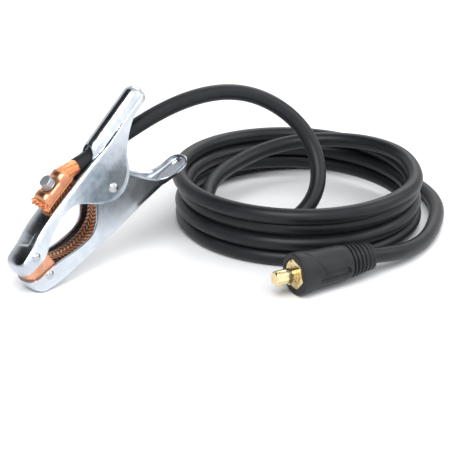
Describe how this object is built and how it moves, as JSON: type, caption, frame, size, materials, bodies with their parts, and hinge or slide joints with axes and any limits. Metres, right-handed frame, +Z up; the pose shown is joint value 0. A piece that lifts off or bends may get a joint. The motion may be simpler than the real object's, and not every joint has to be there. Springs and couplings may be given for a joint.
{
  "type": "welding earth clamp",
  "caption": "Spring-loaded pressed-steel welding earth clamp with copper jaw pads, braided link, coiled cable and bayonet plug.",
  "frame": {"origin": "centre of the clamp's own box in plan, on the surface that the clamp and its cable coil rest on", "axes": "X runs along the clamp from the jaws (-X) to the handles (+X), Y is the pivot's direction, Z is up"},
  "size_m": [0.4397, 0.2732, 0.1572],
  "materials": {
    "arm_steel": "bright zinc-plated pressed sheet, satin",
    "rivet_steel": "bright domed rivet heads",
    "spring_steel": "plain spring wire",
    "bolt_steel": "zinc plated, satin",
    "pad_copper": "copper-plated, polished",
    "bare_copper": "bare copper strands",
    "braid_copper": "woven copper braid",
    "cable_rubber": "matte charcoal sheath",
    "plug_rubber": "moulded rubber, matte",
    "plug_brass": "turned brass, satin"
  },
  "bodies": {
    "lower_jaw": {"lower_arm": "arm_steel", "pivot_rivet": "rivet_steel", "pivot_spacer": "spring_steel", "torsion_spring": "spring_steel", "lower_jaw_pad": "pad_copper", "lower_pad_rivets": "rivet_steel", "braid_inner": "braid_copper", "braid_outer": "braid_copper", "cable_loop": "cable_rubber", "cable_coil": "cable_rubber", "cable_tail": "cable_rubber", "plug_housing": "plug_rubber", "plug_contact": "plug_brass", "plug_ferrule": "bare_copper", "plug_set_screws": "bolt_steel", "plug_conductor": "bare_copper"},
    "upper_jaw": {"upper_arm": "arm_steel", "upper_jaw_pad": "pad_copper", "upper_pad_rivets": "rivet_steel", "cable_saddle": "pad_copper", "cable_bolt": "bolt_steel", "bolt_washer": "bolt_steel", "bolt_nut": "bolt_steel", "bare_conductor": "bare_copper", "cable_entry": "cable_rubber"}
  },
  "joints": [
    {"name": "arm_hinge", "type": "hinge", "parent": "lower_jaw", "child": "upper_jaw", "pos_m": [0.00204, 0, 0.07792], "axis": [0, 1, 0], "range_deg": [0, 28], "stiffness_Nm_per_rad": 6, "springref_deg": -57.3, "deforming": ["torsion_spring", "braid_inner", "braid_outer", "cable_loop"]}
  ]
}
